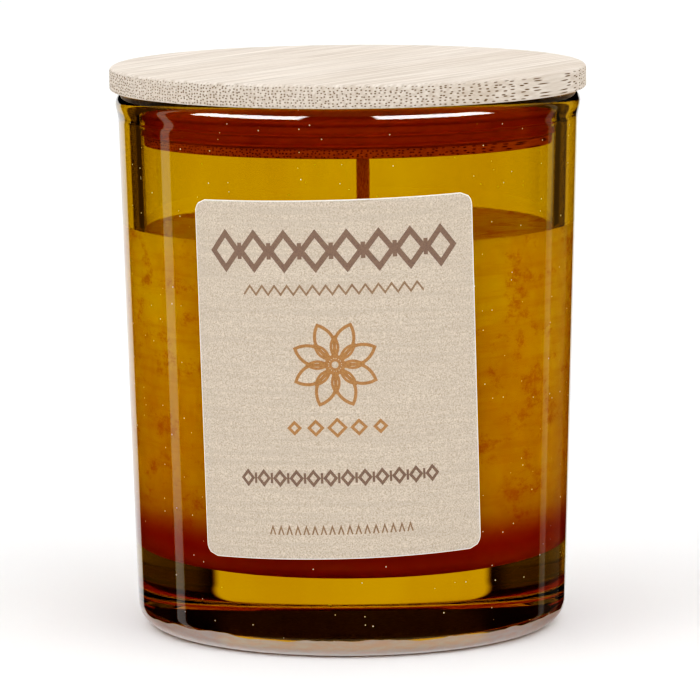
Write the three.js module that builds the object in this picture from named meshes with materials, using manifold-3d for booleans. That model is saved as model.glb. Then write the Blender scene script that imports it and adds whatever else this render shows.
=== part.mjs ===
// Amber glass candle jar with poured wax, a wick, paper labels and a two-ply bamboo lid.
// Millimetres, +Z up. The origin is the centre of the standing ring under the glass.
// The front label faces -Y. Every turned piece is revolved about the jar's axis, except
// the wick and what holds it, which share an axis of their own a little to one side.

import * as THREE from 'three';
import { mergeVertices } from 'three/addons/utils/BufferGeometryUtils.js';
import Module from 'manifold-3d';

const wasm = await Module();
wasm.setup();

// Glass
const GLASS_HEIGHT = 93.6;
const RIM_DIAMETER = 80.0; // of the straight taper, carried up to the rim
const SIDE_TAPER = 2.6; // radius lost from the rim down to the table
const WALL = 3.8;
const FLOOR_THICKNESS = 12.5;
const HEEL_RADIUS = 4.5;
const FLOOR_CORNER_RADIUS = 12.0;
const LIP_SWELL = 0.4; // how far the fire-polished lip bulges out of the taper
const LIP_HEIGHT = 5.0;
const RING_WIDTH = 4.0; // flat ring that the glass stands on
const PUNT_DEPTH = 1.6;
const PUNT_SLOPE_WIDTH = 3.0;

// Lid
const LID_OVERHANG = 1.35; // disc edge past the rim diameter, all round
const DISC_THICKNESS = 4.0;
const DISC_TOP_ROUND = 0.8;
const DISC_BOTTOM_ROUND = 0.5;
const PLUG_CLEARANCE = 0.6; // plug to the inside of the glass, at the plug's lower end
const PLUG_CHAMFER = 0.4;

// Seal
const SEAL_HEIGHT = 4.8;
const PLUG_END_LAND = 1.7; // plug below the seal
const PLUG_TOP_LAND = 2.0; // plug above the seal
const GROOVE_DEPTH = 2.0;
const FIN_COUNT = 3;
const FIN_THICKNESS = 0.9; // at the root
const FIN_TIP_THICKNESS = 0.4;
const FIN_ROOT_INSET = 0.2; // fin roots sit this far inside the plug's outer face

// Wax and wick
const HEADSPACE = 15.0; // wax surface to the underside of the plug
const MENISCUS_RISE = 0.5;
const MENISCUS_WIDTH = 1.2;
const WICK_DIAMETER = 2.4;
const WICK_OFF_CENTRE = 2.5; // towards +X
const WICK_TOP_GAP = 2.0; // wick tip to the underside of the plug
const TAB_DIAMETER = 20.0;
const TAB_THICKNESS = 0.4;
const TAB_NECK_HEIGHT = 6.0;
const TAB_NECK_WALL = 0.4;
const TAB_FLARE = 1.2;
const STICKER_DIAMETER = 16.0;
const STICKER_THICKNESS = 0.8;

// Labels
const LABEL_WIDTH = 50.0;
const LABEL_TO_TABLE = 17.5;
const LABEL_TO_RIM = 15.1;
const LABEL_CORNER_RADIUS = 2.2;
const LABEL_TILT = THREE.MathUtils.degToRad(1.5); // hand-applied, not quite straight
const LABEL_TURN = THREE.MathUtils.degToRad(3.6); // round the jar from -Y, towards -X
const LABEL_THICKNESS = 0.2;
const LABEL_GAP = 0.15;
const BASE_LABEL_MARGIN = 3.0; // left bare round the base label, inside the punt
const BASE_LABEL_THICKNESS = 0.15;

// Fits and facets
const CONTACT_GAP = 0.25; // between pieces that touch
const SEGMENTS = 72;
const WICK_SEGMENTS = 20;
const ARC_STEPS = 6;
const CUT_MARGIN = 5.0; // how far cutting solids run past what they cut

// Derived places
const lidSeat = GLASS_HEIGHT + CONTACT_GAP;
const plugTop = lidSeat - CONTACT_GAP;
const plugBottom = plugTop - PLUG_TOP_LAND - SEAL_HEIGHT - PLUG_END_LAND;
const plugRadius = innerRadius(plugBottom) - PLUG_CLEARANCE;
const grooveRadius = plugRadius - GROOVE_DEPTH;
const sealBottom = plugBottom + PLUG_END_LAND;
const sealTop = sealBottom + SEAL_HEIGHT;
const waxTop = plugBottom - HEADSPACE;
const stickerBottom = FLOOR_THICKNESS + CONTACT_GAP;
const tabBottom = stickerBottom + STICKER_THICKNESS + CONTACT_GAP;
const neckBore = WICK_DIAMETER / 2 + CONTACT_GAP;
const neckOuter = neckBore + TAB_NECK_WALL;
const neckTop = tabBottom + TAB_THICKNESS + TAB_NECK_HEIGHT;
const wickTop = plugBottom - WICK_TOP_GAP;
const ringOuterRadius = outerRadius(HEEL_RADIUS) - HEEL_RADIUS;
const ringInnerRadius = ringOuterRadius - RING_WIDTH;
const puntRoofRadius = ringInnerRadius - PUNT_SLOPE_WIDTH;
const labelHeight = GLASS_HEIGHT - LABEL_TO_RIM - LABEL_TO_TABLE;
const labelCentre = LABEL_TO_TABLE + labelHeight / 2;

function outerRadius(z) {
  return RIM_DIAMETER / 2 - SIDE_TAPER * (1 - z / GLASS_HEIGHT);
}

function innerRadius(z) {
  return outerRadius(z) - WALL;
}

function point(r, z) {
  return new THREE.Vector2(r, z);
}

// Points of an arc in the profile plane, angles in degrees from the outward direction.
function arc(r, z, radius, from, to, steps = ARC_STEPS) {
  const points = [];
  for (let i = 0; i <= steps; i += 1) {
    const angle = THREE.MathUtils.degToRad(from + ((to - from) * i) / steps);
    points.push(point(r + radius * Math.cos(angle), z + radius * Math.sin(angle)));
  }
  return points;
}

// Revolves a profile about +Z, starting on the -Y side. A ring's profile closes on itself.
function revolve(profile, segments = SEGMENTS) {
  const isRing = profile[0].x > 0;
  const points = isRing ? [...profile, profile[0].clone()] : profile;
  const geometry = new THREE.LatheGeometry(points, segments);
  return geometry.rotateX(Math.PI / 2);
}

function toSolid(geometry) {
  const bare = geometry.clone();
  bare.deleteAttribute('normal');
  bare.deleteAttribute('uv');
  const merged = mergeVertices(bare);
  const vertProperties = new Float32Array(merged.attributes.position.array);
  const triVerts = new Uint32Array(merged.index.array);
  return new wasm.Manifold(new wasm.Mesh({ numProp: 3, vertProperties, triVerts }));
}

function fromSolid(solid) {
  const { vertProperties, triVerts } = solid.getMesh();
  const geometry = new THREE.BufferGeometry();
  geometry.setAttribute('position', new THREE.BufferAttribute(vertProperties, 3));
  geometry.setIndex(new THREE.BufferAttribute(triVerts, 1));
  geometry.computeVertexNormals();
  return geometry;
}

// Glass profile: punt, standing ring, heel, outside wall, rounded lip, bore, floor.
function glassGeometry() {
  const lipRadius = (WALL + LIP_SWELL) / 2;
  const lipCentreZ = GLASS_HEIGHT - lipRadius;
  const lipCentreR = outerRadius(lipCentreZ) + LIP_SWELL - lipRadius;
  const lipFoot = GLASS_HEIGHT - LIP_HEIGHT;
  const cornerZ = FLOOR_THICKNESS + FLOOR_CORNER_RADIUS;
  const cornerR = innerRadius(cornerZ) - FLOOR_CORNER_RADIUS;
  return revolve([
    point(0, PUNT_DEPTH),
    point(puntRoofRadius, PUNT_DEPTH),
    point(ringInnerRadius, 0),
    ...arc(ringOuterRadius, HEEL_RADIUS, HEEL_RADIUS, -90, 0),
    point(outerRadius(lipFoot), lipFoot),
    ...arc(lipCentreR, lipCentreZ, lipRadius, 0, 180, 2 * ARC_STEPS),
    point(innerRadius(lipFoot), lipFoot),
    ...arc(cornerR, cornerZ, FLOOR_CORNER_RADIUS, 0, -90),
    point(0, FLOOR_THICKNESS),
  ]);
}

// Wax profile: it follows the inside of the glass up to a small meniscus.
function waxBodyGeometry() {
  const bottom = FLOOR_THICKNESS + CONTACT_GAP;
  const cornerRadius = FLOOR_CORNER_RADIUS - CONTACT_GAP;
  const cornerZ = FLOOR_THICKNESS + FLOOR_CORNER_RADIUS;
  const cornerR = innerRadius(cornerZ) - FLOOR_CORNER_RADIUS;
  const edge = waxTop + MENISCUS_RISE;
  return revolve([
    point(0, bottom),
    ...arc(cornerR, cornerZ, cornerRadius, -90, 0),
    point(innerRadius(edge) - CONTACT_GAP, edge),
    point(innerRadius(waxTop) - CONTACT_GAP - MENISCUS_WIDTH, waxTop),
    point(0, waxTop),
  ]);
}

// The hollow that the wick, its tab and the sticker leave in the wax, on the wick's axis.
function wickHollowGeometry() {
  const tabRadius = TAB_DIAMETER / 2 + CONTACT_GAP;
  const plateTop = tabBottom + TAB_THICKNESS + CONTACT_GAP;
  const wickRadius = WICK_DIAMETER / 2 + CONTACT_GAP;
  const neckRadius = neckOuter + CONTACT_GAP;
  const hollow = revolve([
    point(0, -CUT_MARGIN),
    point(tabRadius, -CUT_MARGIN),
    point(tabRadius, plateTop),
    point(neckRadius + TAB_FLARE, plateTop),
    point(neckRadius, plateTop + TAB_FLARE),
    point(neckRadius, neckTop + CONTACT_GAP),
    point(wickRadius, neckTop + CONTACT_GAP),
    point(wickRadius, GLASS_HEIGHT + CUT_MARGIN),
    point(0, GLASS_HEIGHT + CUT_MARGIN),
  ], WICK_SEGMENTS);
  return hollow.translate(WICK_OFF_CENTRE, 0, 0);
}

function waxGeometry() {
  const hollow = toSolid(wickHollowGeometry());
  return fromSolid(toSolid(waxBodyGeometry()).subtract(hollow));
}

function wickGeometry() {
  const radius = WICK_DIAMETER / 2;
  const bottom = tabBottom;
  return revolve([
    point(0, bottom),
    point(radius, bottom),
    point(radius, wickTop - radius / 2),
    point(radius / 2, wickTop),
    point(0, wickTop),
  ], WICK_SEGMENTS);
}

// Pressed metal tab: a plate with a flared, crimped neck round the wick's foot.
function tabGeometry() {
  const plateTop = tabBottom + TAB_THICKNESS;
  return revolve([
    point(neckBore, tabBottom),
    point(TAB_DIAMETER / 2, tabBottom),
    point(TAB_DIAMETER / 2, plateTop),
    point(neckOuter + TAB_FLARE, plateTop),
    point(neckOuter, plateTop + TAB_FLARE),
    point(neckOuter, neckTop),
    point(neckBore, neckTop),
  ], WICK_SEGMENTS);
}

function stickerGeometry() {
  const top = stickerBottom + STICKER_THICKNESS;
  return revolve([
    point(0, stickerBottom),
    point(STICKER_DIAMETER / 2, stickerBottom),
    point(STICKER_DIAMETER / 2, top),
    point(0, top),
  ], WICK_SEGMENTS);
}

function roundedRectangle(width, height, radius) {
  const shape = new THREE.Shape();
  const x = width / 2 - radius;
  const y = height / 2 - radius;
  shape.absarc(x, y, radius, 0, Math.PI / 2);
  shape.absarc(-x, y, radius, Math.PI / 2, Math.PI);
  shape.absarc(-x, -y, radius, Math.PI, 1.5 * Math.PI);
  shape.absarc(x, -y, radius, 1.5 * Math.PI, 2 * Math.PI);
  return shape;
}

// The paper follows the tapered wall: a thin cone trimmed to a rounded rectangle, whose
// flat pattern is as wide as the paper measured round the wall.
function frontLabelGeometry() {
  const inner = (z) => outerRadius(z) + LABEL_GAP;
  const outer = (z) => inner(z) + LABEL_THICKNESS;
  const low = labelCentre - labelHeight / 2 - CUT_MARGIN;
  const high = labelCentre + labelHeight / 2 + CUT_MARGIN;
  const sleeve = revolve([
    point(inner(low), low),
    point(outer(low), low),
    point(outer(high), high),
    point(inner(high), high),
  ]);
  const wallRadius = inner(labelCentre);
  const chord = 2 * wallRadius * Math.sin(LABEL_WIDTH / 2 / wallRadius);
  const outline = roundedRectangle(chord, labelHeight, LABEL_CORNER_RADIUS);
  const depth = wallRadius + CUT_MARGIN;
  const punch = new THREE.ExtrudeGeometry(outline, {
    depth,
    bevelEnabled: false,
    curveSegments: ARC_STEPS,
  });
  punch.rotateX(Math.PI / 2);
  punch.rotateY(-LABEL_TILT);
  punch.rotateZ(-LABEL_TURN);
  punch.translate(0, 0, labelCentre);
  return fromSolid(toSolid(sleeve).intersect(toSolid(punch)));
}

function baseLabelGeometry() {
  const radius = puntRoofRadius - BASE_LABEL_MARGIN;
  const top = PUNT_DEPTH - CONTACT_GAP;
  const bottom = top - BASE_LABEL_THICKNESS;
  return revolve([point(0, bottom), point(radius, bottom), point(radius, top), point(0, top)]);
}

function discGeometry() {
  const radius = RIM_DIAMETER / 2 + LID_OVERHANG;
  const top = lidSeat + DISC_THICKNESS;
  const lowR = radius - DISC_BOTTOM_ROUND;
  const highR = radius - DISC_TOP_ROUND;
  return revolve([
    point(0, lidSeat),
    ...arc(lowR, lidSeat + DISC_BOTTOM_ROUND, DISC_BOTTOM_ROUND, -90, 0, ARC_STEPS / 2),
    ...arc(highR, top - DISC_TOP_ROUND, DISC_TOP_ROUND, 0, 90, ARC_STEPS / 2),
    point(0, top),
  ]);
}

// Plug profile: lower chamfer, land, groove for the seal, upper land.
function plugGeometry() {
  const grooveBottom = sealBottom - CONTACT_GAP;
  const grooveTop = sealTop + CONTACT_GAP;
  return revolve([
    point(0, plugBottom),
    point(plugRadius - PLUG_CHAMFER, plugBottom),
    point(plugRadius, plugBottom + PLUG_CHAMFER),
    point(plugRadius, grooveBottom),
    point(grooveRadius, grooveBottom),
    point(grooveRadius, grooveTop),
    point(plugRadius, grooveTop),
    point(plugRadius, plugTop),
    point(0, plugTop),
  ]);
}

// Silicone ring: a band in the groove with fins that reach out to the glass.
function sealGeometry() {
  const back = grooveRadius + CONTACT_GAP;
  const root = plugRadius - FIN_ROOT_INSET;
  const pitch = (SEAL_HEIGHT - FIN_THICKNESS) / (FIN_COUNT - 1);
  const taper = (FIN_THICKNESS - FIN_TIP_THICKNESS) / 2;
  const profile = [point(back, sealBottom)];
  for (let i = 0; i < FIN_COUNT; i += 1) {
    const low = sealBottom + i * pitch;
    const tip = innerRadius(low) - CONTACT_GAP;
    profile.push(point(root, low));
    profile.push(point(tip, low + taper));
    profile.push(point(tip, low + FIN_THICKNESS - taper));
    profile.push(point(root, low + FIN_THICKNESS));
  }
  profile.push(point(back, sealTop));
  return revolve(profile);
}

function addPiece(parent, name, geometry, color, roughness, metalness = 0) {
  const material = new THREE.MeshStandardMaterial({ color, roughness, metalness });
  const mesh = new THREE.Mesh(geometry, material);
  mesh.name = name;
  parent.add(mesh);
}

function buildJar() {
  const jar = new THREE.Group();
  addPiece(jar, 'glass_jar', glassGeometry(), 0xb87414, 0.05);
  addPiece(jar, 'wax_fill', waxGeometry(), 0xf0e2c0, 0.55);
  addPiece(jar, 'front_label', frontLabelGeometry(), 0xd6c6b4, 0.85);
  addPiece(jar, 'base_label', baseLabelGeometry(), 0x1c1a18, 0.6);
  return jar;
}

function buildWick() {
  const wick = new THREE.Group();
  wick.position.x = WICK_OFF_CENTRE;
  addPiece(wick, 'wick', wickGeometry(), 0xc8a88a, 0.9);
  addPiece(wick, 'wick_sustainer', tabGeometry(), 0xb9bcc0, 0.35, 1);
  addPiece(wick, 'wick_sticker', stickerGeometry(), 0xf4f2ec, 0.8);
  return wick;
}

function buildLid() {
  const lid = new THREE.Group();
  addPiece(lid, 'lid_disc', discGeometry(), 0xe2cfb4, 0.6);
  addPiece(lid, 'lid_plug', plugGeometry(), 0xa8705a, 0.65);
  addPiece(lid, 'seal_ring', sealGeometry(), 0xb0523c, 0.45);
  return lid;
}

const group = new THREE.Group();
group.add(buildJar(), buildWick(), buildLid());

export default group;
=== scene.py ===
"""Candle jar with a bamboo lid: looks, light and camera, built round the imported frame.

Metres, +Z up, the label faces -Y. Turned pieces are revolved again at full smoothness
inside the boxes of the nodes that they stand for.
"""
import math

import bmesh
import bpy
from mathutils import Matrix, Vector, noise


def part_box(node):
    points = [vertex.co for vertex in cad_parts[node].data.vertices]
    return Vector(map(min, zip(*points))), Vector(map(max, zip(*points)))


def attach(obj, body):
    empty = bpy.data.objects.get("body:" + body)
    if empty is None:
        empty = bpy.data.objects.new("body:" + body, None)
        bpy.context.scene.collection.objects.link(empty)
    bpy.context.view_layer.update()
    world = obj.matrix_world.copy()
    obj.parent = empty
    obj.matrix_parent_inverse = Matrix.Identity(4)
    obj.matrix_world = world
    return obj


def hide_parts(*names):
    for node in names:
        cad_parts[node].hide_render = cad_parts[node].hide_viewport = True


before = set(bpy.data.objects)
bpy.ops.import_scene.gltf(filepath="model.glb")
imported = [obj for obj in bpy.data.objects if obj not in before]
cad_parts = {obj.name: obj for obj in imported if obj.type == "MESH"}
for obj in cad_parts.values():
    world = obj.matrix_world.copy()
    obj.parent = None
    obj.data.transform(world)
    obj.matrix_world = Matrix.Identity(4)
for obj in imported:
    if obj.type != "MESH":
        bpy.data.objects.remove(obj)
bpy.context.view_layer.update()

MM = 0.001
TURNS = 256  # facets round a turned piece
SHARP_EDGE = 38  # degrees; flatter edges are shaded smooth

# Sizes that the boxes of the nodes don't give
WALL = 3.8 * MM
SIDE_TAPER = 2.6 * MM
RIM_RADIUS = 40.0 * MM
FLOOR = 12.5 * MM
FLOOR_CORNER = 12.0 * MM
HEEL = 4.5 * MM
LIP_HEIGHT = 5.0 * MM
LIP_SWELL = 0.4 * MM
RING_WIDTH = 4.0 * MM
PUNT_DEPTH = 1.6 * MM
PUNT_SLOPE = 3.0 * MM
WET = 0.02 * MM  # how far a bonded face reaches into the glass, so that no air is left between
UNEVEN = 0.07 * MM  # how far the moulded inside strays from true
MENISCUS_WIDTH = 1.2 * MM
MENISCUS_HEIGHT = 0.5 * MM
GLASS_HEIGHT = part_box("glass_jar")[1].z

# The lacquer, and the heel: a worn standing ring, and painted shade at the front
COAT_THIN = (0.61, 0.335, 0.001)
COAT_THICK = (0.51, 0.255, 0.001)
COAT_END = 1.0 * MM  # below this the coat goes on under the heel and the standing ring
HEEL_SHADE_EDGE = 3.2 * MM  # the front of the heel is painted grey below this, more or less, as painted shade
HEEL_SHADE_WANDER = 2.2 * MM
# Grey and pinkish: painted shade on the front of the heel, and the colour of the worn standing ring
HEEL_WARM = (0.46, 0.30, 0.24)
HEEL_GREY = (0.44, 0.37, 0.34)

# Bamboo
GRAIN_TURN = 32  # degrees from +Y towards +X
STRIP_WIDTH = 13.0 * MM
PORE_ACROSS = 0.64 * MM
PORE_UP = 0.52 * MM
BAMBOO_DARK = (0.58, 0.49, 0.405)
BAMBOO_LIGHT = (0.85, 0.775, 0.69)
BAMBOO_WARM = (0.55, 0.44, 0.335)
# The sides: end grain, with painted shade
BAMBOO_END_AND_SHADE = (0.49, 0.395, 0.30)
BAMBOO_PALE = (0.86, 0.79, 0.70)
BAMBOO_PORE = (0.11, 0.06, 0.025)
# Painted shade, darker and redder, for the lower part of the plug, which sits in the jar
PLUG_SHADE = (0.70, 0.30, 0.21)

# Dark reddish brown: painted shade for the seal, which sits in the jar under the lid
SILICONE_SHADED_DARK = (0.36, 0.072, 0.052)
SILICONE_SHADED_PALE = (0.47, 0.110, 0.085)

# The print of the base label
BASE_DOTS = 36
BASE_INNER_RULE = 13.0 * MM
BASE_DOT_RING = 16.5 * MM
BASE_OUTER_RULE = 20.5 * MM


# ---------------------------------------------------------------- outlines and meshes

def wall_radius(z):
    return RIM_RADIUS - SIDE_TAPER * (1 - z / GLASS_HEIGHT)


def arc(r, z, radius, start, end, steps=16):
    """Points of an arc in the profile plane; angles in degrees from the outward way."""
    points = []
    for i in range(steps + 1):
        angle = math.radians(start + (end - start) * i / steps)
        points.append((r + radius * math.cos(angle), z + radius * math.sin(angle)))
    return points


def bumps(angle, z, turn, rise):
    """Smooth noise round a turned piece, which closes on itself; from -1 to 1."""
    return noise.noise(Vector((turn * math.sin(angle), turn * math.cos(angle), rise * z)))


def middle(node):
    """Where the axis of a turned node stands, in the plan."""
    low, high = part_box(node)
    return (low.x + high.x) / 2, 0.0


def add_object(name, bm, body, slot, *materials, node=None):
    """A piece that rides on a body and, where node is given, stands for that CAD node."""
    mesh = bpy.data.meshes.new(name)
    bmesh.ops.recalc_face_normals(bm, faces=bm.faces)
    bm.to_mesh(mesh)
    bm.free()
    obj = bpy.data.objects.new(name, mesh)
    bpy.context.collection.objects.link(obj)
    mesh.shade_smooth()
    mesh.set_sharp_from_angle(angle=math.radians(SHARP_EDGE))
    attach(obj, body)
    if node:
        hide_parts(node)
    for material in materials:
        mesh.materials.append(material)
    return obj


def turned(profile, turns=TURNS, shape=None, centre=(0.0, 0.0)):
    """A closed solid of revolution. shape(r, z, angle) may move each point."""
    bm = bmesh.new()
    on_axis = [abs(r) < 1e-9 for r, _ in profile]
    rings = []
    for (r, z), single in zip(profile, on_axis):
        ring = []
        for k in range(1 if single else turns):
            angle = 2 * math.pi * k / turns
            rr, zz = (r, z) if shape is None else shape(r, z, angle)
            ring.append(bm.verts.new((centre[0] + rr * math.sin(angle),
                                      centre[1] - rr * math.cos(angle), zz)))
        rings.append(ring)
    pairs = list(zip(rings, rings[1:]))
    if not on_axis[0]:
        pairs.append((rings[-1], rings[0]))
    for low, high in pairs:
        for k in range(turns):
            j = (k + 1) % turns
            quad = [low[k % len(low)], low[j % len(low)],
                    high[j % len(high)], high[k % len(high)]]
            corners = [v for i, v in enumerate(quad) if v not in quad[:i]]
            if len(corners) > 2:
                bm.faces.new(corners)
    return bm


# ---------------------------------------------------------------- node graphs

class Nodes:
    """A node tree, with short calls for adding and joining nodes."""

    def __init__(self, tree):
        self.tree = tree
        tree.nodes.clear()

    def put(self, socket, value):
        """Link value if it is a socket, or else set it; a bare colour gets an alpha of 1."""
        if isinstance(value, bpy.types.NodeSocket):
            self.tree.links.new(value, socket)
        elif hasattr(value, "__len__") and len(value) == 3 and len(socket.default_value) == 4:
            socket.default_value = (*value, 1.0)
        else:
            socket.default_value = value

    def add(self, kind, inputs=None, output=0, **settings):
        node = self.tree.nodes.new("ShaderNode" + kind)
        for key, value in settings.items():
            setattr(node, key, value)
        for key, value in (inputs or {}).items():
            self.put(node.inputs[key], value)
        return node.outputs[output]

    def math(self, operation, a, b=0.0, c=None):
        inputs = {0: a, 1: b} if c is None else {0: a, 1: b, 2: c}
        return self.add("Math", inputs, operation=operation)

    def ramp(self, factor, low, high, a=0.0, b=1.0):
        """Smooth step of factor from low to high, giving a to b."""
        return self.add("MapRange", {0: factor, 1: low, 2: high, 3: a, 4: b},
                        interpolation_type="SMOOTHSTEP")

    def split(self, vector):
        return self.add("SeparateXYZ", {0: vector}).node.outputs

    def joined(self, x, y, z=0.0):
        return self.add("CombineXYZ", {0: x, 1: y, 2: z})


class Graph(Nodes):
    """The nodes of a material that ends in one Principled shader."""

    def __init__(self, name):
        self.material = bpy.data.materials.new(name)
        self.material.use_nodes = True
        super().__init__(self.material.node_tree)
        self.output = self.tree.nodes.new("ShaderNodeOutputMaterial")

    def place(self):
        return self.add("TexCoord", output="Object")

    def slope(self):
        """The upward part of the surface's normal: 1 faces up, -1 faces down."""
        return self.split(self.add("TexCoord", output="Normal"))[2]

    def scaled(self, vector, scale, rotation=(0, 0, 0), location=(0, 0, 0)):
        return self.add("Mapping", {"Vector": vector, "Scale": scale, "Rotation": rotation,
                                    "Location": location})

    def noise(self, vector, scale, detail=2.0, rough=0.5):
        return self.add("TexNoise", {"Vector": vector, "Scale": scale, "Detail": detail,
                                     "Roughness": rough})

    def mix(self, factor, a, b, blend="MIX"):
        return self.add("Mix", {0: factor, 6: a, 7: b}, output=2, data_type="RGBA",
                        blend_type=blend)

    def bump(self, height, strength, distance):
        return self.add("Bump", {"Height": height, "Strength": strength, "Distance": distance})

    def specks(self, vector, pitch, size, share):
        """Dots about size across in cells of pitch; only a share of the cells has one."""
        away = self.add("TexVoronoi", {"Vector": vector, "Scale": 1 / pitch}, output="Distance")
        chance = self.split(away.node.outputs["Color"])[0]
        edge = size / pitch / 2
        dot = self.ramp(away, edge * 0.6, edge, 1.0, 0.0)
        return self.math("MULTIPLY", dot, self.math("LESS_THAN", chance, share))

    def finish(self, **inputs):
        """Set the shader's sockets, named with underscores, and give the material."""
        names = {key.replace("_", " "): value for key, value in inputs.items()}
        self.put(self.output.inputs["Surface"], self.add("BsdfPrincipled", names))
        return self.material


# ---------------------------------------------------------------- materials

def clear_glass():
    g = Graph("clear_glass")
    ripple = g.noise(g.place(), 120, 1)
    return g.finish(Base_Color=(0.97, 0.98, 0.96), Roughness=0.0, IOR=1.5, Transmission_Weight=1.0,
                    Normal=g.bump(ripple, 0.10, 0.02 * MM))


def lacquered_glass():
    """Glass sprayed amber outside, with painted shade on the front of the heel, a scuffed standing
    ring, orange peel and a little dust.
    """
    g = Graph("lacquered_glass")
    place = g.place()
    height = g.split(place)[2]
    cloud = g.noise(g.scaled(place, (1, 1, 0.35)), 55, 3, 0.6)
    amber = g.mix(g.ramp(cloud, 0.3, 0.7), COAT_THICK, COAT_THIN)

    # Painted shade on the heel up to a wandering edge, at the front only, and a scuffed standing ring
    # all round
    around = g.noise(g.scaled(place, (1, 1, 0)), 110, 2)
    wander = g.math("MULTIPLY", g.math("SUBTRACT", around, 0.5), HEEL_SHADE_WANDER)
    above = g.math("SUBTRACT", height, g.math("ADD", wander, HEEL_SHADE_EDGE))
    scuff_and_shade = g.ramp(above, -0.12 * MM, 0.12 * MM, 1.0, 0.0)
    scuff_and_shade = g.math("MULTIPLY", scuff_and_shade, g.ramp(g.split(place)[1], 4 * MM, 14 * MM, 1.0, 0.0))
    scuff_and_shade = g.math("MAXIMUM", scuff_and_shade, g.ramp(height, 0.10 * MM, 0.30 * MM, 1.0, 0.0))
    worn = g.ramp(g.noise(g.scaled(place, (1, 1, 4)), 420, 4, 0.65), 0.35, 0.65)

    dust = g.specks(place, 1.7 * MM, 0.34 * MM, 0.40)
    hair = g.specks(g.scaled(place, (1, 1, 0.22), rotation=(0.5, 0.3, 0)), 3.6 * MM, 0.20 * MM, 0.36)
    dirt = g.math("MAXIMUM", dust, hair)
    dirt_colour = (0.98, 0.93, 0.84)

    # grey and pinkish painted shade on the front of the heel, wear on the standing ring, dust on the
    # amber
    colour = g.mix(scuff_and_shade, g.mix(dirt, amber, dirt_colour), g.mix(worn, HEEL_WARM, HEEL_GREY))
    rough = g.math("MAXIMUM", g.math("MULTIPLY", dirt, 0.75), g.math("MULTIPLY", scuff_and_shade, 0.35))
    cover = g.math("MAXIMUM", g.math("MULTIPLY", scuff_and_shade, 0.75), g.math("MULTIPLY", dirt, 0.45))
    peel = g.noise(place, 190, 2)
    return g.finish(Base_Color=colour, Roughness=rough, IOR=1.5,
                    Transmission_Weight=g.math("SUBTRACT", 1.0, cover),
                    Normal=g.bump(peel, 0.10, 0.02 * MM))


def wax():
    """Poured wax: cloudy and faintly layered, with painted shade: darker towards the bottom, and dark
    red where it faces down on the bowl of the floor.
    """
    thin, full = (0.83, 0.66, 0.42), (0.98, 0.95, 0.78)
    layered, blotted = (0.72, 0.46, 0.26), (0.58, 0.24, 0.12)
    # deep, foot and bowl are colours of painted shade
    deep, foot, bowl = (0.66, 0.38, 0.22), (0.40, 0.15, 0.07), (0.42, 0.055, 0.04)
    g = Graph("wax")
    place = g.place()
    height = g.split(place)[2]
    cloud = g.noise(g.scaled(place, (1, 1, 0.8)), 45, 5, 0.62)
    layers = g.noise(g.scaled(place, (1, 1, 9)), 70, 4, 0.6)
    blots = g.noise(g.scaled(place, (1, 1, 1.5), location=(3, 1, 2)), 120, 8, 0.8)
    tone = g.mix(g.ramp(cloud, 0.33, 0.66), thin, full)
    tone = g.mix(g.ramp(layers, 0.46, 0.66, 0.0, 0.28), tone, layered)
    tone = g.mix(g.ramp(blots, 0.52, 0.66, 0.0, 0.70), tone, blotted)
    # Painted shade: darker towards the bottom, and dark red where the surface faces down
    tone = g.mix(g.ramp(height, 62 * MM, 20 * MM, 0.0, 0.40), tone, deep)
    tone = g.mix(g.ramp(height, 31 * MM, 17 * MM, 0.0, 0.60), tone, foot)
    tone = g.mix(g.ramp(g.slope(), -0.62, -0.04, 0.95, 0.0), tone, bowl)
    fine = g.math("MULTIPLY", g.noise(place, 1800, 2), 0.2)
    relief = g.math("ADD", g.noise(place, 300, 3), fine)
    return g.finish(Base_Color=tone, Roughness=g.ramp(cloud, 0.3, 0.7, 0.38, 0.55), IOR=1.44,
                    Subsurface_Weight=0.35, Subsurface_Radius=(4 * MM, 3 * MM, 2 * MM),
                    Subsurface_Scale=1.0, Normal=g.bump(relief, 0.25, 0.08 * MM))


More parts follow.
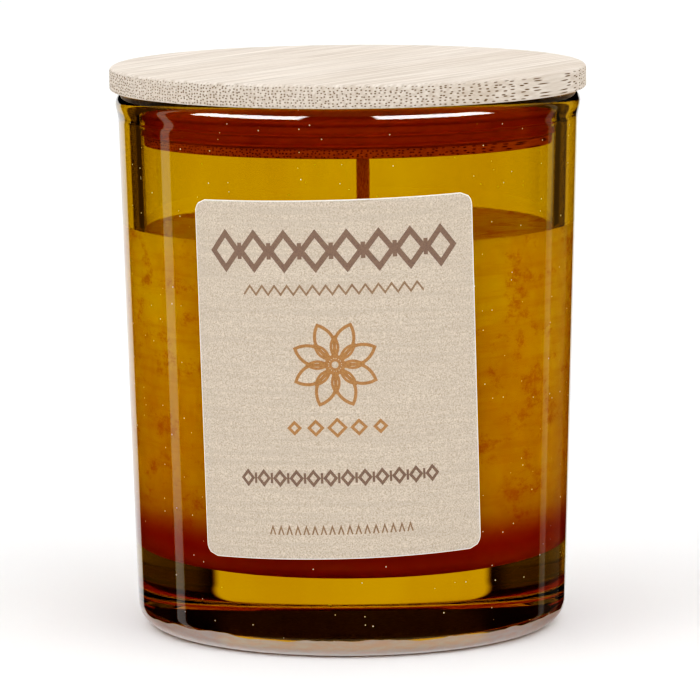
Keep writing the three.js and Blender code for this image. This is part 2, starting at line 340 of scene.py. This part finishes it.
def bamboo(name, strip_shift, painted_shade=None, shade_top=0.0):
    """Laid-up bamboo strips: bundles of fibre show as dots where they end, streaks where they run.

    The strips start strip_shift of a strip off the middle. The last two arguments give a painted
    shade, darker and redder, and the height that it reaches up to."""
    g = Graph(name)
    along = g.scaled(g.place(), (1, 1, 1), rotation=(0, 0, math.radians(GRAIN_TURN - 90)))
    u, v, w = g.split(along)[0:3]  # along the grain, across it, up
    facing = g.math("ABSOLUTE", g.slope())

    def by_side(on_edge, on_face):
        return g.ramp(facing, 0.35, 0.85, on_edge, on_face)

    strip = g.math("FLOOR", g.math("ADD", g.math("DIVIDE", v, STRIP_WIDTH), strip_shift))
    chance = g.add("TexWhiteNoise", {"W": strip}, noise_dimensions="1D")

    # The ends of the bundles, on a grid across the grain that wanders a little along it
    wander = g.math("MULTIPLY", g.noise(g.joined(u, v, w), 70, 2), 0.5 * MM)
    across = g.math("DIVIDE", g.math("ADD", v, wander), PORE_ACROSS)
    away = g.add("TexVoronoi", {"Vector": g.joined(across, g.math("DIVIDE", w, PORE_UP)),
                                "Scale": 1.0, "Randomness": 0.62},
                 output="Distance", voronoi_dimensions="2D")
    size = g.math("MULTIPLY_ADD", chance, 0.09, 0.27)
    pore = g.ramp(away, g.math("MULTIPLY", size, 0.55), size, 1.0, 0.0)
    broken = g.noise(g.joined(g.math("MULTIPLY", u, 0.09), v, w), 900, 2)
    broken = g.math("MAXIMUM", g.ramp(broken, 0.40, 0.60, 0.30, 1.0), by_side(0.9, 0.0))
    pore = g.math("MULTIPLY", pore, broken)

    fibre = g.noise(g.joined(g.math("MULTIPLY", u, 0.02), v, w), 1500, 4, 0.65)
    flat = g.joined(g.math("MULTIPLY", u, 0.04), v, g.math("MULTIPLY", w, 0.5))
    band = g.noise(flat, 150, 3, 0.55)
    tone = g.mix(g.ramp(fibre, 0.30, 0.70), BAMBOO_DARK, BAMBOO_LIGHT)
    tone = g.mix(g.ramp(band, 0.35, 0.70, 0.0, 0.30), tone, BAMBOO_WARM)
    tone = g.mix(g.math("MULTIPLY", chance, 0.16), tone, BAMBOO_PALE)
    # Sides darker than the top: end grain, with painted shade
    tone = g.mix(by_side(0.30, 0.0), tone, BAMBOO_END_AND_SHADE)
    tone = g.mix(g.math("MULTIPLY", pore, by_side(1.0, 0.22)), tone, BAMBOO_PORE)
    # Painted shade, multiplied in below its top height
    if painted_shade:
        shade_mask = g.ramp(w, shade_top - 0.5 * MM, shade_top + 0.5 * MM, 1.0, 0.0)
        tone = g.mix(shade_mask, tone, painted_shade, "MULTIPLY")
    relief = g.math("SUBTRACT", g.math("MULTIPLY", fibre, 0.35), pore)
    return g.finish(Base_Color=tone, Roughness=g.ramp(fibre, 0.3, 0.7, 0.78, 0.90),
                    Specular_IOR_Level=0.03,
                    Normal=g.bump(relief, by_side(0.65, 0.15), 0.06 * MM))


def kraft():
    """Uncoated kraft paper, with fibres, darker flecks and the faint bands of its web."""
    dark, light = (0.38, 0.300, 0.220), (0.72, 0.620, 0.500)
    banded, fibrous, crossed, flecked = ((0.45, 0.375, 0.295), (0.68, 0.60, 0.50),
                                         (0.38, 0.30, 0.22), (0.22, 0.15, 0.09))
    g = Graph("kraft_paper_face")
    place = g.place()
    grit = g.noise(place, 4200, 3, 0.7)
    fibre = g.noise(g.scaled(place, (1, 1, 7), rotation=(0, 0.5, 0)), 700, 3, 0.6)
    cross = g.noise(g.scaled(place, (6, 1, 1), rotation=(0, 0.35, 0)), 800, 3, 0.6)
    web = g.noise(g.scaled(place, (0.05, 0.05, 1)), 1150, 2, 0.5)
    fleck = g.specks(place, 1.9 * MM, 0.22 * MM, 0.30)
    tone = g.mix(g.ramp(grit, 0.28, 0.72), dark, light)
    tone = g.mix(g.ramp(web, 0.40, 0.66, 0.0, 0.40), tone, banded)
    tone = g.mix(g.ramp(fibre, 0.58, 0.72, 0.0, 0.40), tone, fibrous)
    tone = g.mix(g.ramp(cross, 0.60, 0.74, 0.0, 0.35), tone, crossed)
    tone = g.mix(g.math("MULTIPLY", fleck, 0.6), tone, flecked)
    relief = g.math("ADD", grit, g.math("ADD", fibre, web))
    return g.finish(Base_Color=tone, Roughness=0.92, Normal=g.bump(relief, 0.30, 0.03 * MM))


def paper_core():
    grey, white = (0.86, 0.82, 0.76), (0.97, 0.95, 0.92)
    g = Graph("paper_cut_edge")
    return g.finish(Base_Color=g.mix(g.noise(g.place(), 2500, 2), grey, white), Roughness=0.95)


def ink(name, worn, full):
    """Ink that sinks into the paper, thinner where the fibres stand up."""
    g = Graph(name)
    bite = g.ramp(g.noise(g.place(), 3600, 3, 0.7), 0.34, 0.66)
    return g.finish(Base_Color=g.mix(bite, full, worn), Roughness=g.ramp(bite, 0.0, 1.0, 0.62, 0.85),
                    Normal=g.bump(bite, 0.25, 0.02 * MM))


def silicone():
    """Silicone in a dark reddish brown, as painted shade for where it sits in the jar; satin, with
    dust and the marks of its mould.
    """
    dusty = (0.72, 0.62, 0.52)
    g = Graph("seal_silicone")
    place = g.place()
    dust = g.specks(place, 1.6 * MM, 0.3 * MM, 0.25)
    cloud = g.noise(place, 260, 3)
    tone = g.mix(cloud, SILICONE_SHADED_DARK, SILICONE_SHADED_PALE)
    tone = g.mix(g.math("MULTIPLY", dust, 0.5), tone, dusty)
    marks = g.noise(g.scaled(place, (1, 1, 14)), 420, 2)
    return g.finish(Base_Color=tone, Roughness=g.ramp(cloud, 0.3, 0.7, 0.34, 0.52),
                    Subsurface_Weight=0.2, Subsurface_Radius=(1 * MM, 0.6 * MM, 0.4 * MM),
                    Subsurface_Scale=1.0, Normal=g.bump(marks, 0.2, 0.03 * MM))


def cotton():
    """Bleached cotton that wax has soaked, with its hairs on the slant."""
    dark, light, waxed = (0.52, 0.22, 0.12), (0.86, 0.52, 0.36), (0.62, 0.33, 0.20)
    g = Graph("wick_cotton")
    place = g.place()
    hairs = g.noise(g.scaled(place, (1, 1, 0.25), rotation=(0.4, 0.4, 0)), 3800, 3, 0.7)
    soaked = g.noise(place, 500, 2)
    tone = g.mix(g.ramp(hairs, 0.3, 0.7), dark, light)
    tone = g.mix(g.ramp(soaked, 0.45, 0.7, 0.0, 0.5), tone, waxed)
    return g.finish(Base_Color=tone, Roughness=0.85, Normal=g.bump(hairs, 0.6, 0.06 * MM))


def tinned_steel():
    dull, bright = (0.52, 0.51, 0.49), (0.72, 0.72, 0.71)
    g = Graph("tinned_steel_plate")
    place = g.place()
    rolled = g.noise(g.scaled(place, (0.05, 1, 1)), 2600, 3, 0.6)
    tone = g.mix(g.noise(place, 420, 3), dull, bright)
    return g.finish(Base_Color=tone, Metallic=1.0, Roughness=g.ramp(rolled, 0.3, 0.7, 0.26, 0.48),
                    Normal=g.bump(rolled, 0.2, 0.02 * MM))


def adhesive_pad():
    dark, light = (0.62, 0.61, 0.58), (0.86, 0.85, 0.82)
    g = Graph("adhesive_foam")
    foam = g.add("TexVoronoi", {"Vector": g.place(), "Scale": 4200}, output="Distance")
    return g.finish(Base_Color=g.mix(foam, dark, light), Roughness=0.9,
                    Normal=g.bump(foam, 0.5, 0.08 * MM))


def base_paper():
    """Dark coated paper with two pale rules and a ring of dots between them, printed below."""
    dark, light, printed = (0.012, 0.010, 0.009), (0.026, 0.022, 0.019), (0.62, 0.52, 0.38)
    g = Graph("base_label_paper")
    place = g.place()
    x, y = g.split(place)[0:2]
    radius = g.math("SQRT", g.math("ADD", g.math("MULTIPLY", x, x), g.math("MULTIPLY", y, y)))
    turn = g.math("MULTIPLY", g.math("ARCTAN2", y, x), BASE_DOTS / (2 * math.pi))
    beat = g.math("ABSOLUTE", g.math("SUBTRACT", g.math("FRACT", turn), 0.5))

    def rule(at, half):
        away = g.math("ABSOLUTE", g.math("SUBTRACT", radius, at))
        return g.ramp(away, half, half + 0.1 * MM, 1.0, 0.0)

    dots = g.math("MULTIPLY", rule(BASE_DOT_RING, 0.9 * MM), g.ramp(beat, 0.14, 0.20, 1.0, 0.0))
    rules = g.math("MAXIMUM", rule(BASE_INNER_RULE, 0.15 * MM), rule(BASE_OUTER_RULE, 0.3 * MM))
    below = g.math("LESS_THAN", g.slope(), -0.5)
    print_mask = g.math("MULTIPLY", g.math("MAXIMUM", dots, rules), below)
    grit = g.noise(place, 2800, 3)
    tone = g.mix(grit, dark, light)
    tone = g.mix(g.math("MULTIPLY", print_mask, 0.8), tone, printed)
    return g.finish(Base_Color=tone, Roughness=g.ramp(grit, 0.3, 0.7, 0.45, 0.62),
                    Normal=g.bump(grit, 0.2, 0.02 * MM))


def page():
    grey, white = (0.89, 0.89, 0.89), (0.91, 0.91, 0.91)
    g = Graph("pale_floor")
    return g.finish(Base_Color=g.mix(g.noise(g.place(), 40, 3), grey, white), Roughness=0.8)


# ---------------------------------------------------------------- glass and wax

def glass_profile():
    """The glass from the middle of the punt out and up to the rim, and back down to the floor."""
    lip = (WALL + LIP_SWELL) / 2
    lip_z = GLASS_HEIGHT - lip
    lip_r = wall_radius(lip_z) + LIP_SWELL - lip
    foot = GLASS_HEIGHT - LIP_HEIGHT
    ring = wall_radius(HEEL) - HEEL
    corner_z = FLOOR + FLOOR_CORNER
    corner_r = wall_radius(corner_z) - WALL - FLOOR_CORNER
    outside = [(0, PUNT_DEPTH), (ring - RING_WIDTH - PUNT_SLOPE, PUNT_DEPTH), (ring - RING_WIDTH, 0)]
    outside += arc(ring, HEEL, HEEL, -90, 0, 24)
    rise = [i / 8 for i in range(9)]
    outside += [(wall_radius(foot + (lip_z - foot) * t) + LIP_SWELL * (3 * t * t - 2 * t ** 3),
                 foot + (lip_z - foot) * t) for t in rise]
    inside = arc(lip_r, lip_z, lip, 0, 180, 32)[1:]
    inside += [(wall_radius(foot) - WALL, foot)]
    inside += arc(corner_r, corner_z, FLOOR_CORNER, 0, -90, 24)
    inside += [(0, FLOOR)]
    return outside, inside


def wander_inside(r, z, angle):
    """How far the moulded inside of the wall strays from true."""
    if r < wall_radius(z) - WALL - FLOOR_CORNER or z > GLASS_HEIGHT - LIP_HEIGHT - MM:
        return 0.0
    return UNEVEN * bumps(angle, z, 2.2, 60)


def make_glass():
    outside, inside = glass_profile()
    inner = set(inside)

    def uneven(r, z, angle):
        return (r + wander_inside(r, z, angle) if (r, z) in inner else r), z

    glass = add_object("glass_jar_body", turned(outside + inside, shape=uneven), "jar", "amber_glass",
                       clear_glass(), lacquered_glass(), node="glass_jar")
    for face in glass.data.polygons:
        c = face.center
        outer = math.hypot(c.x, c.y) > wall_radius(c.z) - WALL / 2 and face.normal.xy.dot(c.xy) > 0
        standing = c.z < COAT_END and math.hypot(c.x, c.y) > wall_radius(0) - HEEL - RING_WIDTH
        face.material_index = 1 if standing or outer and c.z > COAT_END else 0


def make_wax():
    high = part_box("wax_fill")[1]
    top = high.z - MENISCUS_HEIGHT
    edge = wall_radius(high.z) - WALL + WET
    flat = edge - MENISCUS_WIDTH
    corner_z = FLOOR + FLOOR_CORNER
    corner_r = wall_radius(corner_z) - WALL - FLOOR_CORNER
    profile = [(0, FLOOR - WET)]
    profile += arc(corner_r, corner_z, FLOOR_CORNER + WET, -90, 0, 24)
    profile += [(edge, high.z)]
    profile += [(edge - MENISCUS_WIDTH * t, top + MENISCUS_HEIGHT * (1 - t) ** 2)
                for t in (0.15, 0.3, 0.5, 0.75, 1.0)]
    profile += [(flat - flat * i / 40, top) for i in range(1, 40)] + [(0, top)]
    wick_x = middle("wick")[0]

    def set_top(r, z, angle):
        """The surface sinks a little, ripples, and creeps up the wick."""
        if z > top - 1e-7 and r < edge - 1.0 * MM:
            x, y = r * math.sin(angle), -r * math.cos(angle)
            away = math.hypot(x - wick_x, y)
            z += 0.16 * MM * noise.noise(Vector((x, y, 0)) * 90)
            z -= 0.25 * MM * math.exp(-(away / (9 * MM)) ** 2)
            z += 0.45 * MM * math.exp(-(away / (1.9 * MM)) ** 2)
            return r, z
        return r + wander_inside(r - WET, z, angle), z

    add_object("wax_body", turned(profile, shape=set_top), "jar", "wax", wax(), node="wax_fill")


make_glass()
make_wax()


# ---------------------------------------------------------------- labels

LABEL_SIZE = (50.0 * MM, 61.09 * MM)
LABEL_MIDDLE = (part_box("front_label")[0].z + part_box("front_label")[1].z) / 2
LABEL_CORNER = 2.2 * MM
LABEL_TURN = -3.6  # degrees round the jar
LABEL_TILT = 1.5  # degrees off level
PAPER = (0.03 * MM, 0.16 * MM)  # the faces of the paper, out from the glass
INK = (0.15 * MM, 0.18 * MM)
CUT_BEVEL = 0.16 * MM

# Where the printed rows stand, in millimetres above the middle of the label
HEAD_ROW = 22.0
ZIGZAG_ROW = 15.4
FLOWER_ROW = 2.7
BEAD_ROW = -8.0
LOWER_ROW = -16.6
FOOT_ROW = -26.3


def on_wall(s, t, lift):
    """A point of the label: s across and t up from its middle, lift out from the glass."""
    tilt = math.radians(LABEL_TILT)
    z = LABEL_MIDDLE + math.sin(tilt) * s + math.cos(tilt) * t
    r = wall_radius(z) + lift
    angle = math.radians(LABEL_TURN) + (math.cos(tilt) * s - math.sin(tilt) * t) / r
    return r * math.sin(angle), -r * math.cos(angle), z


def make_label():
    """The paper as two sheets with a bevelled edge, which shows the paper's white core."""
    columns, rows = 120, 100
    bm = bmesh.new()
    sheets = []
    for lift, inset in zip(PAPER, (0.0, CUT_BEVEL)):
        width, height = LABEL_SIZE[0] - 2 * inset, LABEL_SIZE[1] - 2 * inset
        corner = LABEL_CORNER - inset
        sheet = []
        for j in range(rows + 1):
            t = (j / rows - 0.5) * height
            over = abs(t) - (height / 2 - corner)
            half = width / 2
            if over > 0:
                half -= corner - math.sqrt(max(0.0, corner ** 2 - over ** 2))
            sheet.append([bm.verts.new(on_wall((2 * i / columns - 1) * half, t, lift))
                          for i in range(columns + 1)])
        sheets.append(sheet)
    for sheet in sheets:
        for below, above in zip(sheet, sheet[1:]):
            for i in range(columns):
                bm.faces.new([below[i], below[i + 1], above[i + 1], above[i]])
    border = [(0, i) for i in range(columns + 1)] + [(j, columns) for j in range(1, rows + 1)]
    border += [(rows, i) for i in range(columns - 1, -1, -1)]
    border += [(j, 0) for j in range(rows - 1, 0, -1)]
    back, front = sheets
    for (a, b), (c, d) in zip(border, border[1:] + border[:1]):
        face = bm.faces.new([back[a][b], back[c][d], front[c][d], front[a][b]])
        face.material_index = 1
    add_object("front_label_paper", bm, "jar", "kraft_paper", kraft(), paper_core(),
               node="front_label")


def stroke(bm, path, width, closed=False):
    """A ribbon of ink along a path of (s, t) points in millimetres."""
    points = []
    ends = list(zip(path, path[1:] + path[:1])) if closed else list(zip(path, path[1:]))
    for (s0, t0), (s1, t1) in ends:
        steps = max(1, math.ceil(math.hypot(s1 - s0, t1 - t0) / 0.8))
        points += [(s0 + (s1 - s0) * i / steps, t0 + (t1 - t0) * i / steps) for i in range(steps)]
    if not closed:
        points.append(path[-1])
    count = len(points)
    rails = []
    for i, (s, t) in enumerate(points):
        back = points[i - 1] if closed or i else points[i]
        ahead = points[(i + 1) % count] if closed or i < count - 1 else points[i]
        ways = [Vector((b[0] - a[0], b[1] - a[1]))
                for a, b in ((back, (s, t)), ((s, t), ahead)) if a != b]
        normals = [Vector((-way.y, way.x)).normalized() for way in ways]
        mean = (normals[0] + normals[-1]).normalized()
        reach = width / 2 / max(0.35, mean.dot(normals[0]))
        sides = [(s + mean.x * reach * k, t + mean.y * reach * k) for k in (-1, 1)]
        rails.append([bm.verts.new(on_wall(a * MM, b * MM, lift)) for a, b in sides for lift in INK])
    joins = list(zip(rails, rails[1:])) + ([(rails[-1], rails[0])] if closed else [])
    for (a, b, c, d), (e, f, g, h) in joins:
        for quad in ((b, d, h, f), (a, e, g, c), (a, b, f, e), (c, g, h, d)):
            bm.faces.new(quad)
    if not closed:
        for a, b, c, d in (rails[0], rails[-1]):
            bm.faces.new((a, c, d, b))


def lozenge(s, t, half_s, half_t):
    return [(s - half_s, t), (s, t + half_t), (s + half_s, t), (s, t - half_t)]


def spread(count, width):
    return [width * (i / (count - 1) - 0.5) for i in range(count)]


def petal(turn, length, width):
    """A leaf outline from near the flower's middle outwards, in the direction turn (degrees)."""
    a, b = math.cos(math.radians(turn)), math.sin(math.radians(turn))
    side = [(1.3 + length * i / 12, width / 2 * math.sin(math.pi * i / 12) ** 0.8)
            for i in range(13)]
    outline = side + [(x, -y) for x, y in side[-2:0:-1]]
    return [(x * a - y * b, x * b + y * a + FLOWER_ROW) for x, y in outline]


def make_prints():
    """Plain ornaments in rows, in three inks."""
    brown, soft, gold = bmesh.new(), bmesh.new(), bmesh.new()
    for s in spread(8, 37.6):
        stroke(brown, lozenge(s, HEAD_ROW, 2.35, 2.95), 0.95, closed=True)
    for s in spread(7, 32.2):
        stroke(brown, [(s, HEAD_ROW - 1.4), (s, HEAD_ROW + 1.4)], 0.75)
    zigzag = [(s, ZIGZAG_ROW + (0.75 if i % 2 else -0.75)) for i, s in enumerate(spread(29, 31.0))]
    stroke(soft, zigzag, 0.34)
    for i in range(8):
        stroke(gold, petal(22.5 + 45 * i, 6.0, 3.1), 0.55, closed=True)
        stroke(gold, petal(45 * i, 3.4, 1.2), 0.45, closed=True)
    turns = [math.radians(15 * i) for i in range(24)]
    ring = [(0.8 * math.cos(turn), FLOWER_ROW + 0.8 * math.sin(turn)) for turn in turns]
    stroke(gold, ring, 0.45, closed=True)
    for s, size in zip(spread(5, 14.6), (0.95, 1.15, 1.4, 1.15, 0.95)):
        stroke(gold, lozenge(s, BEAD_ROW, size, size), 0.5, closed=True)
    for s in spread(12, 32.0):
        stroke(brown, lozenge(s, LOWER_ROW, 0.95, 1.15), 0.5, closed=True)
    for s in spread(11, 29.1):
        stroke(brown, [(s, LOWER_ROW - 0.9), (s, LOWER_ROW + 0.9)], 0.42)
    for s in spread(17, 23.6):
        stroke(soft, [(s - 0.45, FOOT_ROW), (s, FOOT_ROW + 1.4), (s + 0.45, FOOT_ROW)], 0.26)
    inks = [("brown", brown, (0.185, 0.118, 0.082), (0.120, 0.072, 0.052)),
            ("soft_brown", soft, (0.27, 0.17, 0.10), (0.17, 0.095, 0.055)),
            ("gold", gold, (0.38, 0.19, 0.075), (0.27, 0.12, 0.04))]
    for name, bm, worn, full in inks:
        add_object("label_print_" + name, bm, "jar", "kraft_paper", ink("ink_" + name, worn, full))


def make_base_label():
    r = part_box("base_label")[1].x
    top = PUNT_DEPTH + WET
    foot = top - 0.17 * MM
    profile = [(0, foot), (r - 0.05 * MM, foot), (r, foot + 0.05 * MM), (r, top), (0, top)]
    add_object("base_label_paper", turned(profile, 128), "jar", "base_paper", base_paper(),
               node="base_label")


make_label()
make_prints()
make_base_label()


# ---------------------------------------------------------------- wick and what holds it

BRAID_LAY = 5.2 * MM  # how far a strand climbs in one turn


def make_wick():
    low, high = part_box("wick")
    radius = (high.x - low.x) / 2
    count = 420
    shoulder = high.z - low.z - 0.9 * MM
    profile = [(0, low.z)]
    profile += [(radius, low.z + shoulder * i / count) for i in range(count + 1)]
    profile += [(radius * f, high.z - g * MM) for f, g in ((0.97, 0.6), (0.86, 0.3), (0.6, 0.08))]
    profile += [(0, high.z)]

    def braid(r, z, angle):
        lay = 2 * math.pi * z / BRAID_LAY
        strands = max(abs(math.cos(1.5 * angle + lay)), abs(math.cos(1.5 * angle - lay)))
        return r * (0.84 + 0.12 * strands + 0.035 * bumps(angle, z, 1, 900)), z

    add_object("wick_braid", turned(profile, 48, braid, middle("wick")), "jar", "cotton", cotton(),
               node="wick")


def make_sustainer():
    """A thin plate with a neck, crimped on four sides round the wick."""
    low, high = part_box("wick_sustainer")
    centre = middle("wick_sustainer")
    plate = low.z + 0.4 * MM
    neck, bore = 1.85 * MM, 1.42 * MM
    rim = high.x - centre[0]
    profile = [(bore, low.z), (rim - 0.15 * MM, low.z), (rim, low.z + 0.15 * MM),
               (rim, plate - 0.1 * MM), (rim - 0.1 * MM, plate), (neck + 1.2 * MM, plate),
               (neck + 0.35 * MM, plate + 0.35 * MM), (neck, plate + 1.2 * MM)]
    profile += [(neck, plate + (1.2 + 0.3 * i) * MM) for i in range(1, 16)]
    profile += [(neck - 0.1 * MM, high.z), (bore, high.z)]

    def crimp(r, z, angle):
        if r < neck + 0.01 * MM and plate + 1.5 * MM < z < high.z - 0.4 * MM:
            pinch = math.sin(math.pi * (z - plate) / (high.z - plate))
            r -= 0.16 * MM * max(0.0, math.cos(4 * angle)) * pinch
        return r, z

    add_object("wick_sustainer_plate", turned(profile, 96, crimp, centre), "jar", "tinned_steel",
               tinned_steel(), node="wick_sustainer")


def make_sticker():
    low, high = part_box("wick_sticker")
    centre = middle("wick_sticker")
    rim = high.x - centre[0]
    profile = [(0, low.z), (rim - 0.1 * MM, low.z), (rim, low.z + 0.2 * MM),
               (rim - 0.05 * MM, high.z - 0.15 * MM), (rim - 0.2 * MM, high.z), (0, high.z)]

    def ragged(r, z, angle):
        return r * (1 - 0.006 * abs(bumps(angle, z, 3, 900))), z

    add_object("wick_sticker_foam", turned(profile, 96, ragged, centre), "jar", "adhesive_pad",
               adhesive_pad(), node="wick_sticker")


make_wick()
make_sustainer()
make_sticker()


# ---------------------------------------------------------------- lid

GROOVE_DEPTH = 2.0 * MM
SEAL_FINS = 3
FIN_THICK = 0.9 * MM


def make_disc():
    low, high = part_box("lid_disc")
    r = high.x
    profile = [(0, low.z)] + arc(r - 0.5 * MM, low.z + 0.5 * MM, 0.5 * MM, -90, 0, 8)
    profile += arc(r - 0.8 * MM, high.z - 0.8 * MM, 0.8 * MM, 0, 90, 10) + [(0, high.z)]

    def sanded(r, z, angle):
        return r * (1 - 0.0006 * abs(bumps(angle, z, 4, 0))), z

    add_object("lid_disc_bamboo", turned(profile, shape=sanded), "lid", "bamboo_disc",
               bamboo("bamboo_disc_wood", 0.35), node="lid_disc")


def make_plug():
    low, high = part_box("lid_plug")
    seal_low, seal_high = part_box("seal_ring")
    r = high.x
    floor = r - GROOVE_DEPTH
    below, above = seal_low.z - 0.05 * MM, seal_high.z + 0.05 * MM
    profile = [(0, low.z), (r - 0.4 * MM, low.z), (r - 0.1 * MM, low.z + 0.12 * MM),
               (r, low.z + 0.4 * MM), (r, below - 0.15 * MM), (r - 0.15 * MM, below),
               (floor, below), (floor, above), (r - 0.15 * MM, above), (r, above + 0.15 * MM),
               (r, high.z), (0, high.z)]
    # painted shade, darker and redder, on the plug below the middle of the seal
    wood = bamboo("bamboo_plug_wood", 0.8, PLUG_SHADE, (seal_low.z + seal_high.z) / 2)
    add_object("lid_plug_bamboo", turned(profile), "lid", "bamboo_plug", wood, node="lid_plug")


def make_seal():
    low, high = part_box("seal_ring")
    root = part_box("lid_plug")[1].x - 0.2 * MM
    bore = root - 1.75 * MM
    pitch = (high.z - low.z - FIN_THICK) / (SEAL_FINS - 1)
    profile = [(bore, low.z)]
    for i in range(SEAL_FINS):
        z = low.z + i * pitch
        profile += [(root, z), (root + 0.3 * MM, z + 0.06 * MM)]
        profile += arc(high.x - 0.22 * MM, z + FIN_THICK / 2, 0.22 * MM, -80, 80, 8)
        profile += [(root + 0.3 * MM, z + FIN_THICK - 0.06 * MM), (root, z + FIN_THICK)]
    profile.append((bore, high.z))
    add_object("seal_ring_silicone", turned(profile), "seal", "silicone", silicone(),
               node="seal_ring")


make_disc()
make_plug()
make_seal()


# ---------------------------------------------------------------- stage, light, camera

# Soft patches of the studio: azimuth from +Y towards +X, half width and softness; lowest and
# highest elevation and softness; level. Degrees. MIRRORED is what gloss shows and THROUGH is
# what the glass lets through.
MIRRORED = [
    (-6, 20, 3, -90, 0, 3, 1.0),
    (-75, 3, 1.5, -90, 30, 4, 1.2),
    (57, 2.5, 1.5, -90, 20, 4, 0.4),
    (44, 10, 5, -90, 20, 4, 0.10),
    (133, 30, 4, 22, 62, 4, 22.0),
    (-124, 29, 4, 22, 62, 4, 22.0),
    (0, 180, 1, -90, -36, 6, 0.8),
]
THROUGH = [
    (0, 26, 3, -90, 22, 10, 1.0),
    (180, 105, 8, -90, 2, 4, 0.38),
    (180, 144, 10, -90, 2, 4, 0.10),
    (180, 180, 1, -90, -36, 6, 0.4),
    (124, 24, 4, 22, 62, 4, 4.0),
    (-146, 28, 4, 22, 62, 4, 4.0),
]
DARK_LEVEL = 0.015
FILL_ABOVE = 1.0
FILL_BELOW = 0.45
FILL_IN_GLASS = 1.4  # how much is added inside the glass, to make up for the lacquer's darkening
PAGE_LEVEL = 1.0

SOFTBOX_ELEVATION = 42
SOFTBOX_DISTANCE = 0.9
SOFTBOX_SIZE = (0.8, 0.5)
SOFTBOX_POWER = 1.2
SOFTBOX_AIM = (0, 0, 0.06)

CAMERA_PLACE = (0, -0.928, 0.1773)
CAMERA_PITCH = 7.947  # degrees downwards
CAMERA_ROLL = -0.48
CAMERA_LENS = 275.8
CAMERA_SENSOR = 36

DARK_TOE = [(0.02, 0.003), (0.06, 0.028), (0.13, 0.105), (0.25, 0.245), (0.5, 0.52)]


def make_floor():
    """A pale floor that is seen directly and by diffuse light, but not in or through the glass."""
    mesh = bpy.data.meshes.new("floor")
    s, z = 6.0, -0.02 * MM
    mesh.from_pydata([(-s, -s, z), (s, -s, z), (s, s, z), (-s, s, z)], [], [(0, 1, 2, 3)])
    floor = bpy.data.objects.new("floor", mesh)
    bpy.context.collection.objects.link(floor)
    floor.data.materials.append(page())
    floor.visible_glossy = False
    floor.visible_transmission = False


def make_world():
    """One world for each kind of ray: a page, what gloss shows, what glass shows, and the fill."""
    world = bpy.data.worlds.new("studio")
    bpy.context.scene.world = world
    world.use_nodes = True
    world.cycles.sampling_method = "NONE"
    w = Nodes(world.node_tree)
    ray = w.add("LightPath").node.outputs
    x, y, z = w.split(w.add("TexCoord", output="Generated"))[0:3]
    azimuth = w.math("DEGREES", w.math("ARCTAN2", x, y))
    height = w.math("DEGREES", w.math("ARCSINE", z))

    def glow(strength):
        return w.add("Background", {"Color": (1, 1, 1), "Strength": strength})

    def choose(switch, off, on):
        return w.add("MixShader", {0: switch, 1: off, 2: on})

    def patches(rows):
        total = DARK_LEVEL
        for centre, half, soft, low, high, edge, level in rows:
            away = w.math("WRAP", w.math("SUBTRACT", azimuth, centre), 180.0, -180.0)
            across = w.ramp(w.math("ABSOLUTE", away), half, half + soft, level, 0.0)
            over = w.ramp(height, low - edge, low, 0.0, 1.0)
            under = w.ramp(height, high, high + edge, 1.0, 0.0)
            patch = w.math("MULTIPLY", across, w.math("MULTIPLY", over, under))
            total = w.math("ADD", patch, total)
        return glow(total)

    inside = w.math("GREATER_THAN", ray["Transmission Depth"], 0.5)
    more = w.math("ADD", 1.0, w.math("MULTIPLY", inside, FILL_IN_GLASS))
    fill = w.math("MULTIPLY", more, w.ramp(height, -12.0, 4.0, FILL_BELOW, FILL_ABOVE))
    seen = choose(ray["Is Transmission Ray"], patches(MIRRORED), patches(THROUGH))
    seen = choose(ray["Is Camera Ray"], seen, glow(PAGE_LEVEL))
    lit = w.math("GREATER_THAN", ray["Diffuse Depth"], 0.5)
    out = w.tree.nodes.new("ShaderNodeOutputWorld")
    w.put(out.inputs["Surface"], choose(lit, seen, glow(fill)))


def make_softbox(name, azimuth):
    """A softbox aimed at the jar. Azimuth 0 is the camera's side, positive towards +X."""
    a, e = math.radians(azimuth), math.radians(SOFTBOX_ELEVATION)
    way = Vector((math.sin(a) * math.cos(e), -math.cos(a) * math.cos(e), math.sin(e)))
    data = bpy.data.lights.new(name, "AREA")
    data.shape = "RECTANGLE"
    data.size, data.size_y = SOFTBOX_SIZE
    data.energy = SOFTBOX_POWER
    obj = bpy.data.objects.new(name, data)
    obj.location = Vector(SOFTBOX_AIM) + way * SOFTBOX_DISTANCE
    obj.rotation_euler = way.to_track_quat("Z", "Y").to_euler()
    bpy.context.collection.objects.link(obj)
    obj.visible_glossy = False
    obj.visible_transmission = False


def make_camera():
    data = bpy.data.cameras.new("camera")
    data.lens = CAMERA_LENS
    data.sensor_width = CAMERA_SENSOR
    data.clip_start, data.clip_end = 0.05, 50
    cam = bpy.data.objects.new("camera", data)
    cam.location = CAMERA_PLACE
    pitch = math.radians(CAMERA_PITCH)
    forward = Vector((0, math.cos(pitch), -math.sin(pitch)))
    roll = Matrix.Rotation(math.radians(CAMERA_ROLL), 3, "Z").to_quaternion()
    cam.rotation_mode = "QUATERNION"
    cam.rotation_quaternion = forward.to_track_quat("-Z", "Y") @ roll
    bpy.context.collection.objects.link(cam)
    bpy.context.scene.camera = cam


def set_grade():
    """The plain view, with a short toe that deepens what is nearly black."""
    view = bpy.context.scene.view_settings
    view.view_transform = "Standard"
    view.use_curve_mapping = True
    curve = view.curve_mapping.curves[3]
    for x, y in DARK_TOE:
        curve.points.new(x, y)
    view.curve_mapping.update()


make_floor()
make_world()
make_softbox("softbox_left", -55)
make_softbox("softbox_right", 43)
make_camera()
set_grade()
